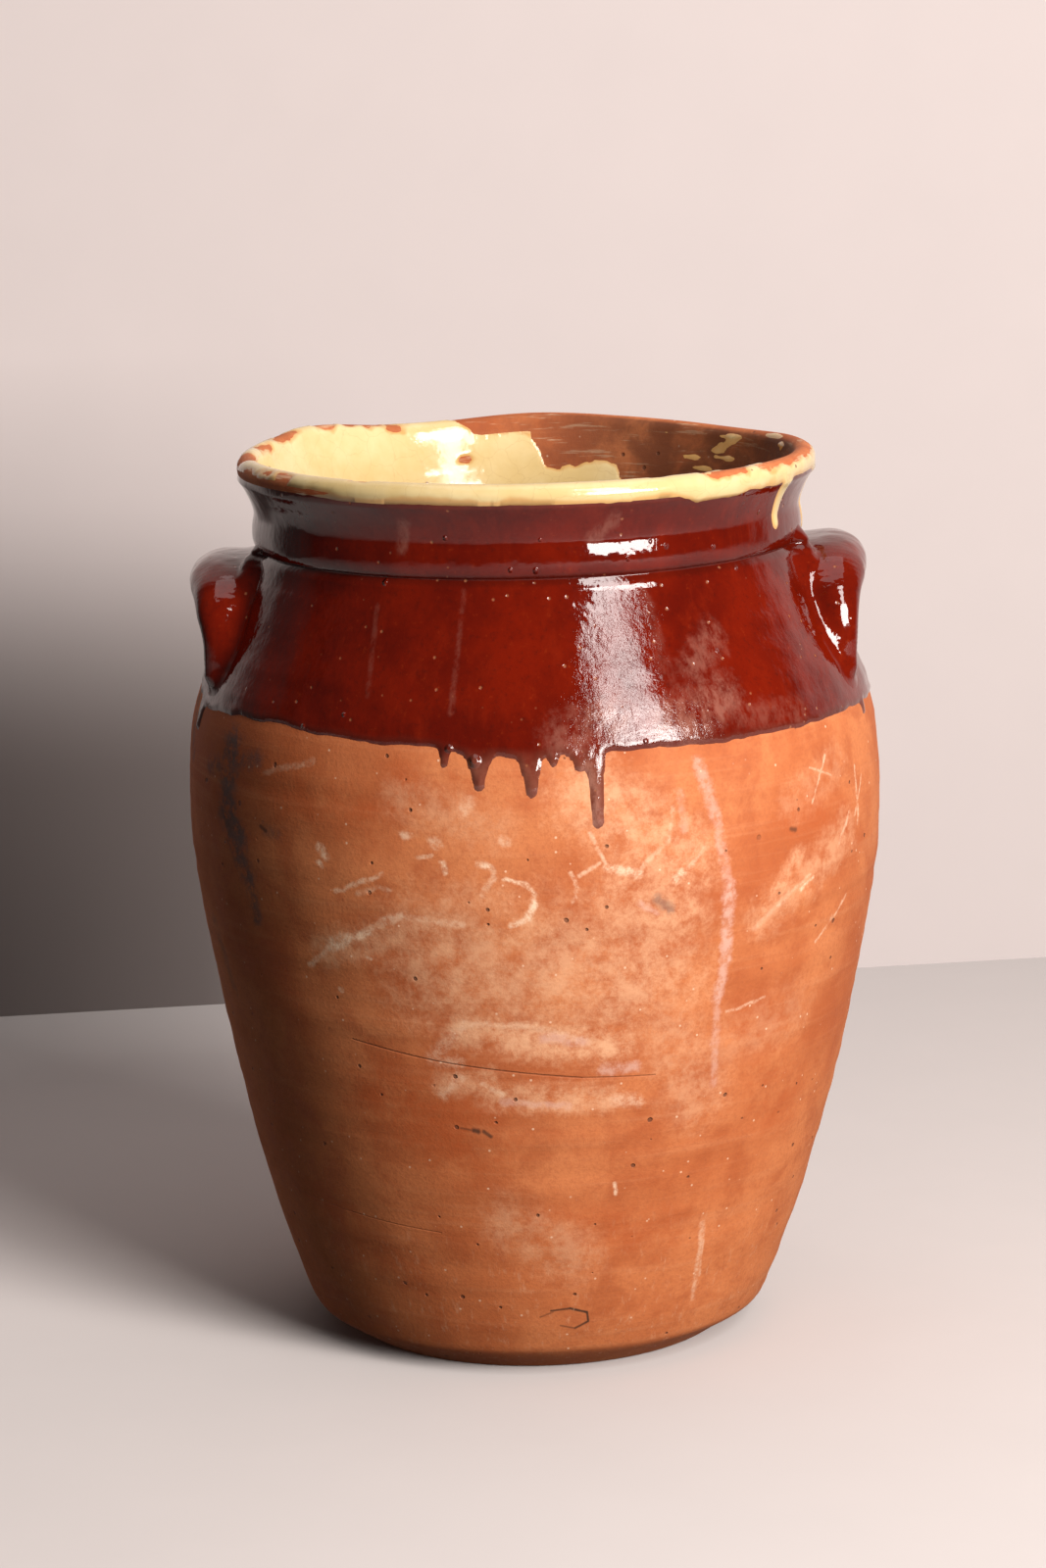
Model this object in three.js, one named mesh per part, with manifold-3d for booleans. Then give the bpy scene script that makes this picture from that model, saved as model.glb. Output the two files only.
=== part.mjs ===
// A two-lugged earthenware preserving jar: a wheel-thrown jar with a rolled lip and a grooved
// collar, two crescent lugs luted to its shoulder, a brown lead glaze over the collar, the
// shoulder and the lugs, and a cream glaze that lines the inside and rolls over the lip.
// Millimetres, +Z up, the origin at the centre of the flat base, +X through the right lug and
// -Y towards the front.
import * as THREE from "three";
import { mergeVertices } from "three/addons/utils/BufferGeometryUtils.js";
import Module from "manifold-3d";

const wasm = await Module();
wasm.setup();

// Driving dimensions
const HEIGHT = 302; // from the table to the top of the lip
const BELLY_RADIUS = 118; // widest place
const BELLY_Z = 186;
const NECK_RADIUS = 91; // in the groove under the collar
const NECK_Z = 271;
const LIP_RADIUS = 97; // widest place of the lip
const LIP_THICKNESS = 7.4;
const WALL = 7.5;
const FLOOR = 10;
const BASE_RADIUS = 63; // flat disc that the jar stands on
const BEVEL_RADIUS = 75; // top of the trimmed bevel round the base
const BEVEL_Z = 8;

// Glaze
const GAP = 0.3; // between the clay and the modelled coat
const COAT = 0.7;
const GLAZE_LINE_Z = 219; // lower edge of the brown coat
const LIP_LINE_Z = 298; // where the cream coat ends on the outside of the lip
const COAT_PARTING = 1; // bare ring between the two coats

// Lugs: a flattened roll of clay bent into an arch, thick at the crown and thin at its two feet
const LUG_FOOT_Z = 231; // of the roll's centre line
const LUG_CROWN_Z = 263.5;
const LUG_FOOT_BEARING = 18; // degrees from the lug's middle
const LUG_FOOT_RADIUS = 112;
const LUG_CROWN_RADIUS = 103.7;
const LUG_FOOT_DEPTH = 4; // half the roll's size, measured out from the jar
const LUG_CROWN_DEPTH = 10.8;
const LUG_FLATNESS = 0.76; // the roll's other half size over its depth
const LUG_SQUARENESS = 3; // 2 makes the arch half an ellipse, more squares its shoulders
const LUG_STEPS = 14; // along the roll
const LUG_SIDES = 10; // round the roll

// How the jar sagged while it was wet
const BELLY_SHIFT = 1.6; // of the belly towards +X
const RIM_SHIFT = 1.5; // of the rim towards +X
const RIM_SHOULDER_Z = 262; // the rim's waves die out below this
const RIM_WAVES = [
  // [lift, bearing in degrees from +X, half width in degrees]
  [2.4, 143, 15],
  [-1.1, 113, 15],
  [1.1, 86, 16],
  [-1.6, 38, 22],
];

const ROUND_SEGMENTS = 36;
const LIP_STEPS = 6; // round the lip's half circle
const radians = THREE.MathUtils.degToRad;
const at = (radius, z) => new THREE.Vector2(radius, z);

// The clay's outline, as [radius, z] points.
function spline(points, segments) {
  return new THREE.SplineCurve(points).getPoints(segments);
}

function arc(centre, radiusX, radiusY, from, to, segments) {
  const curve = new THREE.EllipseCurve(
    centre.x, centre.y, radiusX, radiusY, radians(from), radians(to), to < from,
  );
  return curve.getPoints(segments);
}

function outsideOfWall() {
  return spline(
    [
      at(BEVEL_RADIUS, BEVEL_Z),
      at(81.5, 18),
      at(90, 42),
      at(100, 79),
      at(109.5, 121),
      at(116.5, 162),
      at(BELLY_RADIUS, BELLY_Z),
      at(116.2, 211),
      at(110.5, 230),
      at(100.5, 250),
      at(93.6, 264),
      at(92, 269),
    ],
    18,
  );
}

function outsideOfCollar() {
  const groove = [at(NECK_RADIUS, NECK_Z)];
  const ring = arc(at(88.6, 277), 3.4, 5.6, -58, 58, 4);
  const flare = [at(92.1, 287), at(94.2, 292), at(LIP_RADIUS - 0.5, 296)];
  return [...groove, ...ring, ...flare];
}

function lip() {
  const half = LIP_THICKNESS / 2;
  const middle = at(LIP_RADIUS - half, LIP_LINE_Z);
  return arc(middle, half, HEIGHT - LIP_LINE_Z, 0, 180, LIP_STEPS);
}

function insideOfWall() {
  return spline(
    [
      at(LIP_RADIUS - LIP_THICKNESS - 1.4, 293),
      at(NECK_RADIUS - WALL, NECK_Z + 2),
      at(87.5, 260),
      at(102.5, 230),
      at(BELLY_RADIUS - WALL, BELLY_Z),
      at(109, 161),
      at(92.5, 79),
      at(82.5, 42),
      at(74.5, 21),
      at(68, 13),
      at(58, FLOOR),
    ],
    14,
  );
}

// The same outline pushed out of the clay by a distance, along its own normals. The points run
// with the clay on their left.
function pushed(points, distance) {
  return points.map((p, i) => {
    const before = points[Math.max(i - 1, 0)];
    const after = points[Math.min(i + 1, points.length - 1)];
    const along = after.clone().sub(before).normalize();
    const radius = p.x === 0 ? 0 : p.x + along.y * distance;
    return at(radius, p.y - along.x * distance);
  });
}

// The rim rises and dips, and the belly and rim lean a little to one side.
function sag(x, y, z) {
  const share = z / HEIGHT;
  const bearing = THREE.MathUtils.radToDeg(Math.atan2(y, x));
  const nearRim = THREE.MathUtils.smoothstep(z, RIM_SHOULDER_Z, HEIGHT);
  let lift = 0;
  for (const [height, middle, halfWidth] of RIM_WAVES) {
    const away = THREE.MathUtils.euclideanModulo(bearing - middle + 180, 360) - 180;
    lift += height * Math.exp(-((away / halfWidth) ** 2));
  }
  const lean = RIM_SHIFT * share + BELLY_SHIFT * Math.sin(Math.PI * share) ** 2;
  return [x + lean, y, z + lift * nearRim];
}

function sagged(geometry) {
  const position = geometry.getAttribute("position");
  for (let i = 0; i < position.count; i += 1) {
    position.setXYZ(i, ...sag(position.getX(i), position.getY(i), position.getZ(i)));
  }
  return geometry;
}

function turned(points) {
  const geometry = new THREE.LatheGeometry(points, ROUND_SEGMENTS);
  return sagged(geometry.rotateX(Math.PI / 2));
}

// manifold-3d in and out
function solid(geometry) {
  const bare = geometry.clone();
  bare.deleteAttribute("normal");
  bare.deleteAttribute("uv");
  const merged = mergeVertices(bare, 1e-4);
  return new wasm.Manifold(
    new wasm.Mesh({
      numProp: 3,
      vertProperties: new Float32Array(merged.attributes.position.array),
      triVerts: new Uint32Array(merged.index.array),
    }),
  );
}

function geometryOf(manifold) {
  const mesh = manifold.getMesh();
  const geometry = new THREE.BufferGeometry();
  const position = new THREE.BufferAttribute(mesh.vertProperties, 3);
  geometry.setAttribute("position", position);
  geometry.setIndex(new THREE.BufferAttribute(mesh.triVerts, 1));
  geometry.computeVertexNormals();
  return geometry;
}

// The jar: base, wall, collar and lip thrown from one lump, hollow inside.
function jarBody() {
  const outline = [
    at(0, 0),
    at(BASE_RADIUS, 0),
    ...outsideOfWall(),
    ...outsideOfCollar(),
    ...lip(),
    ...insideOfWall(),
    at(0, FLOOR),
  ];
  return turned(outline);
}

// The jar's outside, filled, pushed out by a distance.
function filledJar(distance) {
  const outside = [...outsideOfWall(), ...outsideOfCollar(), ...lip().slice(0, LIP_STEPS / 2 + 1)];
  const skin = pushed(outside, distance);
  const top = skin[skin.length - 1].y;
  const bottom = skin[0].y;
  return solid(turned([at(0, bottom), ...skin, at(0, top)]));
}

// A point on the centre line of a lug's roll: share runs from 0 at one foot, through 0.5 at the
// crown, to 1 at the other foot. side is 1 for the right lug and -1 for the left.
function archPoint(side, share) {
  const turn = Math.PI * share;
  const power = 2 / LUG_SQUARENESS;
  const rise = Math.abs(Math.sin(turn)) ** power;
  const swing = -Math.sign(Math.cos(turn)) * Math.abs(Math.cos(turn)) ** power;
  const bearing = radians((side > 0 ? 0 : 180) + LUG_FOOT_BEARING * swing);
  const radius = THREE.MathUtils.lerp(LUG_FOOT_RADIUS, LUG_CROWN_RADIUS, rise);
  const z = THREE.MathUtils.lerp(LUG_FOOT_Z, LUG_CROWN_Z, rise);
  const depth = THREE.MathUtils.lerp(LUG_FOOT_DEPTH, LUG_CROWN_DEPTH, rise);
  const centre = new THREE.Vector3(radius * Math.cos(bearing), radius * Math.sin(bearing), z);
  return { centre, depth };
}

// One lug before it is fitted to the jar, its roll made thicker all round by extra. The ends of
// the capsule become the rounded feet.
function lugRoll(side, extra) {
  const capsule = new THREE.CapsuleGeometry(1, 2, 4, LUG_SIDES, LUG_STEPS);
  const position = capsule.getAttribute("position");
  const nudge = 1e-3; // of share, to either side of a point, for the direction of the arch there
  const vertex = new THREE.Vector3();
  for (let i = 0; i < position.count; i += 1) {
    vertex.fromBufferAttribute(position, i);
    const alongRoll = THREE.MathUtils.clamp(vertex.y, -1, 1);
    const overhang = vertex.y - alongRoll; // in the rounded ends
    const share = THREE.MathUtils.lerp(nudge, 1 - nudge, (alongRoll + 1) / 2);
    const { centre, depth } = archPoint(side, share);
    const ahead = archPoint(side, share + nudge).centre;
    const along = ahead.sub(archPoint(side, share - nudge).centre).normalize();
    const out = new THREE.Vector3(centre.x, centre.y, 0).normalize();
    const across = new THREE.Vector3().crossVectors(out, along).normalize();
    centre.addScaledVector(out, vertex.x * (depth + extra));
    centre.addScaledVector(across, vertex.z * (depth * LUG_FLATNESS + extra));
    centre.addScaledVector(along, overhang * (depth + extra));
    position.setXYZ(i, centre.x, centre.y, centre.z);
  }
  return solid(sagged(capsule));
}

function lug(side) {
  return geometryOf(lugRoll(side, 0).subtract(filledJar(GAP)));
}

// The brown coat lies on the collar, the shoulder and both lugs, all in one skin.
function brownGlaze() {
  const top = LIP_LINE_Z - COAT_PARTING;
  const outside = [...outsideOfWall(), ...outsideOfCollar()];
  const skin = pushed(outside, GAP + COAT).filter((p) => p.y > GLAZE_LINE_Z && p.y < top);
  const low = at(skin[0].x + COAT, GLAZE_LINE_Z);
  const high = at(skin[skin.length - 1].x + COAT, top);
  const band = solid(turned([at(0, low.y), low, ...skin, high, at(0, high.y)]));
  return geometryOf(
    band
      .add(lugRoll(1, GAP + COAT))
      .add(lugRoll(-1, GAP + COAT))
      .subtract(filledJar(GAP))
      .subtract(lugRoll(1, GAP))
      .subtract(lugRoll(-1, GAP)),
  );
}

// The cream coat lines the inside from the middle of the floor up and over the lip.
function creamGlaze() {
  const surface = [...lip(), ...insideOfWall(), at(0, FLOOR)];
  const outer = pushed(surface, GAP + COAT);
  const inner = pushed(surface, GAP).reverse();
  return turned([...outer, ...inner, outer[0].clone()]);
}

function material(colour, roughness) {
  return new THREE.MeshStandardMaterial({ color: colour, roughness, metalness: 0 });
}

const terracotta = material("#b8653a", 0.85);
const brown = material("#6d1f0c", 0.15);
const cream = material("#ecd9a0", 0.2);

const jar = new THREE.Group();
function addPiece(name, geometry, finish) {
  const mesh = new THREE.Mesh(geometry, finish);
  mesh.name = name;
  jar.add(mesh);
}

addPiece("jar_body", jarBody(), terracotta);
addPiece("right_lug", lug(1), terracotta);
addPiece("left_lug", lug(-1), terracotta);
addPiece("brown_glaze_coat", brownGlaze(), brown);
addPiece("cream_glaze_lining", creamGlaze(), cream);

export default jar;
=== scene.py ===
"""The looks of a two-lugged earthenware preserving jar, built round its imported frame.

The jar stands at the origin, +Z up. Bearings are degrees round the jar, 0 at the front (-Y),
90 through the right lug (+X) and -90 through the left one. Sizes are millimetres until a mesh is
made. The clay and the brown coat are one closed mesh each, and the cream lining is two, round the
rim and below it. A coat is a sheet over the clay that dives under the surface where the glaze
ends, so its drips and flaked edges are real edges.
"""
import math

import bpy
import numpy as np
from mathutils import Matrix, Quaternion, Vector


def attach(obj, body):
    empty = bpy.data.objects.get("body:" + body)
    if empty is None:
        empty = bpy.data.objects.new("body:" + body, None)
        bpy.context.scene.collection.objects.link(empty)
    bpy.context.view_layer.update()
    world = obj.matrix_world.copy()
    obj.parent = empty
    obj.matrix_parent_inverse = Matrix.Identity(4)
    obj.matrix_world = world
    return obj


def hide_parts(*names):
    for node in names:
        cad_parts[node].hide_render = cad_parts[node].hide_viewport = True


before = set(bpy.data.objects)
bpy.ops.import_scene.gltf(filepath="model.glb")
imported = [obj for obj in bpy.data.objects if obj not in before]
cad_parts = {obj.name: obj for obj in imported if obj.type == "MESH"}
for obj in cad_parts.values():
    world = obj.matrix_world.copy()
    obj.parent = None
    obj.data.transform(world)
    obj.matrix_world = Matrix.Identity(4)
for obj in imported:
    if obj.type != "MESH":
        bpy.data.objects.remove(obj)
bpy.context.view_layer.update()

MM = 0.001

# The same driving sizes as the CAD model's. A wave of the rim is its lift, bearing and half width.
HEIGHT = 302
BELLY_SHIFT = 1.6
RIM_SHIFT = 1.5
RIM_SHOULDER_Z = 262
RIM_WAVES = [(2.4, -127, 15), (-1.1, -157, 15), (1.1, 176, 16), (-1.6, 128, 22)]
LIP_RADIUS = 97
LIP_THICKNESS = 7.4
LIP_LINE_Z = 298
FLOOR = 10

LIP_POINTS = 13  # over the lip's rounded top, in every mesh
CLEAR = 9  # a distance that is well clear of any glaze's edge


# ---- numbers

def noise(points, size, seed):
    """Smooth value noise from -1 to 1 at points, with cells of the given size (one or three)."""
    cells = 32
    table = np.random.default_rng(seed).uniform(-1, 1, (cells,) * 3)
    place = points / np.asarray(size, float)
    cell = np.floor(place).astype(int)
    share = place - cell
    share = share * share * (3 - 2 * share)
    total = np.zeros(points.shape[:-1])
    for corner in np.ndindex(2, 2, 2):
        weight = np.prod(np.where(corner, share, 1 - share), axis=-1)
        i, j, k = np.moveaxis((cell + corner) % cells, -1, 0)
        total += weight * table[i, j, k]
    return total


def ragged(points, size, seed):
    """Noise with finer and fainter noise on top of it."""
    return noise(points, size, seed) + noise(points, size / 2, seed + 1) / 2


def smooth_step(low, high, value):
    share = np.clip((value - low) / (high - low), 0, 1)
    return share * share * (3 - 2 * share)


def smooth_max(a, b, reach):
    """The larger of two values, with a round turn where they are about equal."""
    blend = np.clip(0.5 + 0.5 * (a - b) / reach, 0, 1)
    return b + (a - b) * blend + reach * blend * (1 - blend)


def around(bearing, middle):
    """Degrees from middle to bearing, between -180 and 180."""
    return (bearing - middle + 180) % 360 - 180


def spline(points, step):
    """A Catmull-Rom curve through the points, with a point about every step."""
    p = np.array([points[0], *points, points[-1]], float)
    p[0] += p[0] - p[2]
    p[-1] += p[-1] - p[-3]
    made = []
    for a, b, c, d in zip(p, p[1:], p[2:], p[3:]):
        count = max(1, int(round(np.linalg.norm(c - b) / step)))
        t = (np.arange(count) / count)[:, None]
        made.append(0.5 * (2 * b + (c - a) * t + (2 * a - 5 * b + 4 * c - d) * t**2
                           + (3 * b - a - 3 * c + d) * t**3))
    return np.vstack([*made, p[-2][None]])


def wave(bearing, points):
    """A height at each bearing, from (bearing, height) points that run round the jar."""
    where, height = np.array(sorted(points), float).T
    return np.interp(bearing, where, height, period=360)


# ---- the jar's outline

def outside_outline(step):
    """The clay's outline from the edge of the base to the groove under the collar."""
    foot = [(62.5, 0), (64.4, 0.5), (67.6, 2.6), (72.5, 5.8), (77, 9), (79.4, 13)]
    wall = [(82.5, 21), (90.2, 43), (100, 79), (109.4, 121), (116.2, 162), (117.4, 186),
            (115.8, 211), (110.2, 230), (100.3, 250), (93.6, 264), (91.9, 269.4)]
    return np.vstack([spline(foot, step / 2)[:-1], spline([foot[-1], *wall], step)])


def collar_outline(step):
    """The groove, the raised ring above it, and the neck's flare up to the lip."""
    points = [(90.5, 270.6), (90.3, 271.4), (91.3, 272.4), (91.9, 274.5), (92, 277), (91.7, 280),
              (91.3, 283), (91.9, 286), (93, 289), (94.6, 292.2), (96.4, 295)]
    return spline(points, step)


def lip_outline():
    """The lip's rounded top, from its outer face to its inner face."""
    turn = np.radians(np.linspace(0, 180, LIP_POINTS))
    half = LIP_THICKNESS / 2
    radius = LIP_RADIUS - half + half * np.cos(turn)
    return np.stack([radius, LIP_LINE_Z + (HEIGHT - LIP_LINE_Z) * np.sin(turn)], axis=1)


def inside_outline(step, deep_step):
    """The inside from the lip down to the edge of the floor."""
    neck = [(88.4, 293.5), (85.6, 284), (83.9, 274), (87.6, 260), (95, 244)]
    wall = [(102.7, 230), (109.9, 186), (108.7, 161), (92.3, 79), (82.3, 42), (74.5, 21), (68, 13),
            (58, FLOOR)]
    return np.vstack([spline(neck, step)[:-1], spline([neck[-1], *wall], deep_step)])


def unit(rows):
    return rows / np.linalg.norm(rows, axis=1)[:, None]


def run_along(line, start):
    """Distances along a line of points from the point numbered start."""
    run = np.concatenate([[0], np.cumsum(np.linalg.norm(np.diff(line, axis=0), axis=1))])
    return run - run[start]


def turned(radius, turn, z):
    """Points at a radius, an angle from the front in radians, and a height."""
    return np.stack([radius * np.sin(turn), -radius * np.cos(turn), z], axis=-1)


def normals(outline):
    """Unit normals out of the clay, for an outline that has the clay on its left."""
    along = unit(np.gradient(outline, axis=0))
    return np.stack([along[:, 1], -along[:, 0]], axis=1)


def sag(points):
    """The lean and the uneven rim that the jar took while it was wet."""
    x, y, z = np.moveaxis(points, -1, 0)
    share = z / HEIGHT
    bearing = np.degrees(np.arctan2(x, -y))
    near_rim = smooth_step(RIM_SHOULDER_Z, HEIGHT, z)
    lift = np.zeros(z.shape)
    for height, middle, half_width in RIM_WAVES:
        lift += height * np.exp(-((around(bearing, middle) / half_width) ** 2))
    lean = RIM_SHIFT * share + BELLY_SHIFT * np.sin(np.pi * share) ** 2
    return np.stack([x + lean, y, z + lift * near_rim], axis=-1)


def relief(points):
    """How far the clay stands off its outline: throwing rings and soft dents."""
    z = points[..., 2]
    rings = 0.22 * noise(points, (70, 70, 4.5), 11) + 0.12 * noise(points, (50, 50, 2.2), 12)
    dents = 0.55 * noise(points, 46, 13) + 0.16 * noise(points, 15, 14)
    calm = smooth_step(0, 8, z) * (1 - 0.65 * smooth_step(266, 280, z))
    return (rings + dents) * calm


def surface(bearings, outline, offset, raw=False):
    """Points of the clay's surface moved out by offset, as an array of columns by rows.

    raw gives the turned form alone, before its relief, the offset and the sag.
    """
    turn = np.radians(bearings)[:, None]
    radius, z = outline[None, :, 0], outline[None, :, 1]
    across, up = np.moveaxis(normals(outline), -1, 0)
    smooth = turned(radius, turn, z + 0 * turn)
    if raw:
        return smooth
    out = relief(smooth) + offset
    return sag(turned(radius + out * across, turn, z + out * up))


# ---- meshes

def new_object(name, data):
    made = bpy.data.objects.new(name, data)
    bpy.context.scene.collection.objects.link(made)
    return made


def make_piece(name, points, faces, material, values=None):
    """A mesh object from points in mm, with per-point values for the material to read."""
    mesh = bpy.data.meshes.new(name)
    mesh.from_pydata((points * MM).tolist(), [], faces)
    mesh.polygons.foreach_set("use_smooth", np.ones(len(mesh.polygons), bool))
    for key, value in (values or {}).items():
        layer = mesh.attributes.new(key, "FLOAT", "POINT")
        layer.data.foreach_set("value", np.ascontiguousarray(value, np.float32).ravel())
    mesh.update()
    mesh.materials.append(material)
    return new_object(name, mesh)


def ring_faces(columns, rows):
    """Quads of a sheet of columns by rows of points that closes round the jar."""
    i, j = np.meshgrid(np.arange(columns), np.arange(rows - 1), indexing="ij")
    a, b = i * rows + j, (i + 1) % columns * rows + j
    return np.stack([a, b, b + 1, a + 1], axis=-1).reshape(-1, 4)


def closed_turning(name, bearings, outline, material):
    """The solid inside an outline that starts and ends on the jar's axis."""
    ends = outline[[0, -1]]
    sheet = surface(bearings, outline[1:-1], 0)
    columns, rows = sheet.shape[:2]
    poles = sag(np.array([[0, 0, ends[0][1]], [0, 0, ends[1][1]]]))
    first, last = columns * rows, columns * rows + 1
    column = np.arange(columns)
    here, after = column * rows, (column + 1) % columns * rows
    low_fan = np.stack([after, here, np.full(columns, first)], axis=1)
    top_fan = np.stack([here, after, np.full(columns, last)], axis=1) + [rows - 1, rows - 1, 0]
    faces = ring_faces(columns, rows).tolist() + low_fan.tolist() + top_fan.tolist()
    return make_piece(name, np.vstack([sheet.reshape(-1, 3), poles]), faces, material)


def coat_sheet(name, bearings, outline, field, thickness, base, material):
    """A closed skin of glaze: field is the distance in mm inside the glaze's edge."""
    hidden, sunk = -1.6, -0.7  # where the skin is left out, and where its underside lies
    top = surface(bearings, outline, base + thickness)
    bottom = surface(bearings, outline, sunk)
    columns, rows = field.shape
    right = np.roll(field, -1, axis=0)
    quad_field = np.stack([field[:, :-1], field[:, 1:], right[:, :-1], right[:, 1:]]).max(axis=0)
    kept = quad_field > hidden
    number = np.arange(columns * rows).reshape(columns, rows)
    below = columns * rows

    i, j = np.nonzero(kept)
    k = (i + 1) % columns
    a, b, c, d = number[i, j], number[k, j], number[k, j + 1], number[i, j + 1]
    faces = [np.stack([a, b, c, d], axis=1), np.stack([d, c, b, a], axis=1) + below]
    sides = [
        (np.roll(kept, 1, axis=0), d, a), (np.roll(kept, -1, axis=0), b, c),
        (np.pad(kept, ((0, 0), (1, 0)))[:, :-1], a, b), (np.pad(kept, ((0, 0), (0, 1)))[:, 1:], c, d),
    ]
    for neighbour, start, end in sides:
        open_side = ~neighbour[i, j]
        start, end = start[open_side], end[open_side]
        faces.append(np.stack([start, start + below, end + below, end], axis=1))
    faces = np.vstack(faces)
    used, renumbered = np.unique(faces, return_inverse=True)
    points = np.vstack([top.reshape(-1, 3), bottom.reshape(-1, 3)])[used]
    edge = np.tile(field.ravel(), 2)[used]
    return make_piece(name, points, renumbered.reshape(faces.shape).tolist(), material, {"edge": edge})


# ---- materials

UNROLL_RADIUS = 110  # of the roll on which marks are placed


class Graph:
    """A short way to write a node tree: each call adds a node and returns its output."""

    def __init__(self, name):
        self.material = bpy.data.materials.new(name)
        self.material.use_nodes = True
        self.tree = self.material.node_tree
        self.tree.nodes.clear()

    def fill(self, socket, value):
        if isinstance(value, bpy.types.NodeSocket):
            self.tree.links.new(value, socket)
        else:
            socket.default_value = value

    def add(self, kind, output=0, settings=None, **inputs):
        """A node with its inputs filled by name, or by number as in0, in1 and so on."""
        node = self.tree.nodes.new("ShaderNode" + kind)
        for key, value in (settings or {}).items():
            setattr(node, key, value)
        for key, value in inputs.items():
            numbered = key[:2] == "in" and key[2:].isdigit()
            self.fill(node.inputs[int(key[2:]) if numbered else key.replace("_", " ")], value)
        return node.outputs[output]

    def math(self, operation, a, b):
        return self.add("Math", settings={"operation": operation}, in0=a, in1=b)

    def times(self, a, b):
        return self.math("MULTIPLY", a, b)

    def weighted(self, *parts):
        """The sum of values, each times the weight that is given with it."""
        terms = [self.times(value, weight) for value, weight in parts]
        total = terms[0]
        for term in terms[1:]:
            total = self.math("ADD", total, term)
        return total

    def vector(self, operation, a, b=(0, 0, 0)):
        output = 1 if operation in ("LENGTH", "DOT_PRODUCT", "DISTANCE") else 0
        return self.add("VectorMath", output, {"operation": operation}, in0=a, in1=b)

    def scaled(self, vector, scale):
        return self.vector("MULTIPLY", vector, scale if isinstance(scale, tuple) else (scale,) * 3)

    def noise(self, vector, size, detail=3.0, roughness=0.55, distortion=0.0):
        """Fractal noise from 0 to 1 with features of about size mm (one size or three)."""
        sizes = size if isinstance(size, tuple) else (size,) * 3
        place = self.scaled(vector, tuple(1 / s for s in sizes))
        return self.add("TexNoise", Vector=place, Scale=1.0, Detail=detail, Roughness=roughness,
                        Distortion=distortion)

    def step(self, value, low, high, to_low=0.0, to_high=1.0):
        settings = {"interpolation_type": "SMOOTHSTEP", "clamp": False}
        return self.add("MapRange", settings=settings, Value=value, From_Min=low, From_Max=high,
                        To_Min=to_low, To_Max=to_high)

    def specks(self, place, scale, few, fewer, axis=(1, 0, 0)):
        """The distance to the nearest of scattered points, and a mask that keeps a few of them."""
        cells = self.add("TexVoronoi", 0, Vector=place, Scale=scale, Randomness=1.0)
        pick = self.add("TexVoronoi", 1, Vector=place, Scale=scale, Randomness=1.0)
        return cells, self.step(self.vector("DOT_PRODUCT", pick, axis), few, fewer)

    def mix(self, share, a, b):
        """Colour a with a share of colour b over it."""
        node = self.tree.nodes.new("ShaderNodeMix")
        node.data_type = "RGBA"
        for number, value in ((0, share), (6, a), (7, b)):
            opaque = (*value, 1) if isinstance(value, tuple) else value
            self.fill(node.inputs[number], opaque)
        return node.outputs[2]

    def place(self):
        """The point on the jar in mm, in its own frame."""
        return self.scaled(self.add("TexCoord", 3), 1 / MM)

    def unrolled(self, place):
        """The point as (distance round the jar from the front, height, 0) in mm, and its height."""
        split = self.tree.nodes.new("ShaderNodeSeparateXYZ")
        self.tree.links.new(place, split.inputs[0])
        turn = self.math("ARCTAN2", split.outputs[0], self.times(split.outputs[1], -1.0))
        flat = self.times(turn, UNROLL_RADIUS)
        return self.add("CombineXYZ", X=flat, Y=split.outputs[2], Z=0.0), split.outputs[2]

    def output(self, shader):
        out = self.tree.nodes.new("ShaderNodeOutputMaterial")
        self.tree.links.new(shader, out.inputs["Surface"])
        return self.material

    def finish(self, wave_map, strength, **inputs):
        """The material, with a bump from a map of heights in mm."""
        bump = self.add("Bump", Strength=strength, Distance=MM, Height=wave_map)
        return self.output(self.add("BsdfPrincipled", Normal=bump, **inputs))


def spot_at(bearing, height):
    return (math.radians(bearing) * UNROLL_RADIUS, height, 0.0)


def brush(graph, flat, edge_noise, marks):
    """Strokes on the unrolled jar, from 0 to 1."""
    fray, faint, full = 1.6, 1.3, 0.2  # in half widths: the broken edge, and where it fades
    total = None
    for start, end, half_width, strength in marks:
        a, b = Vector(spot_at(*start)), Vector(spot_at(*end))
        run = b - a
        away = graph.vector("SUBTRACT", flat, tuple(a))
        share = graph.vector("DOT_PRODUCT", away, tuple(run / max(run.length_squared, 0.01)))
        share = graph.math("MINIMUM", graph.math("MAXIMUM", share, 0.0), 1.0)
        along = graph.add("VectorMath", 0, {"operation": "SCALE"}, in0=tuple(run), Scale=share)
        gap = graph.vector("LENGTH", graph.vector("SUBTRACT", away, along))
        gap = graph.math("ADD", gap, graph.times(edge_noise, fray * half_width))
        mark = graph.step(gap, half_width * faint, half_width * full, 0.0, strength)
        total = mark if total is None else graph.math("MAXIMUM", total, mark)
    return total


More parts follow.
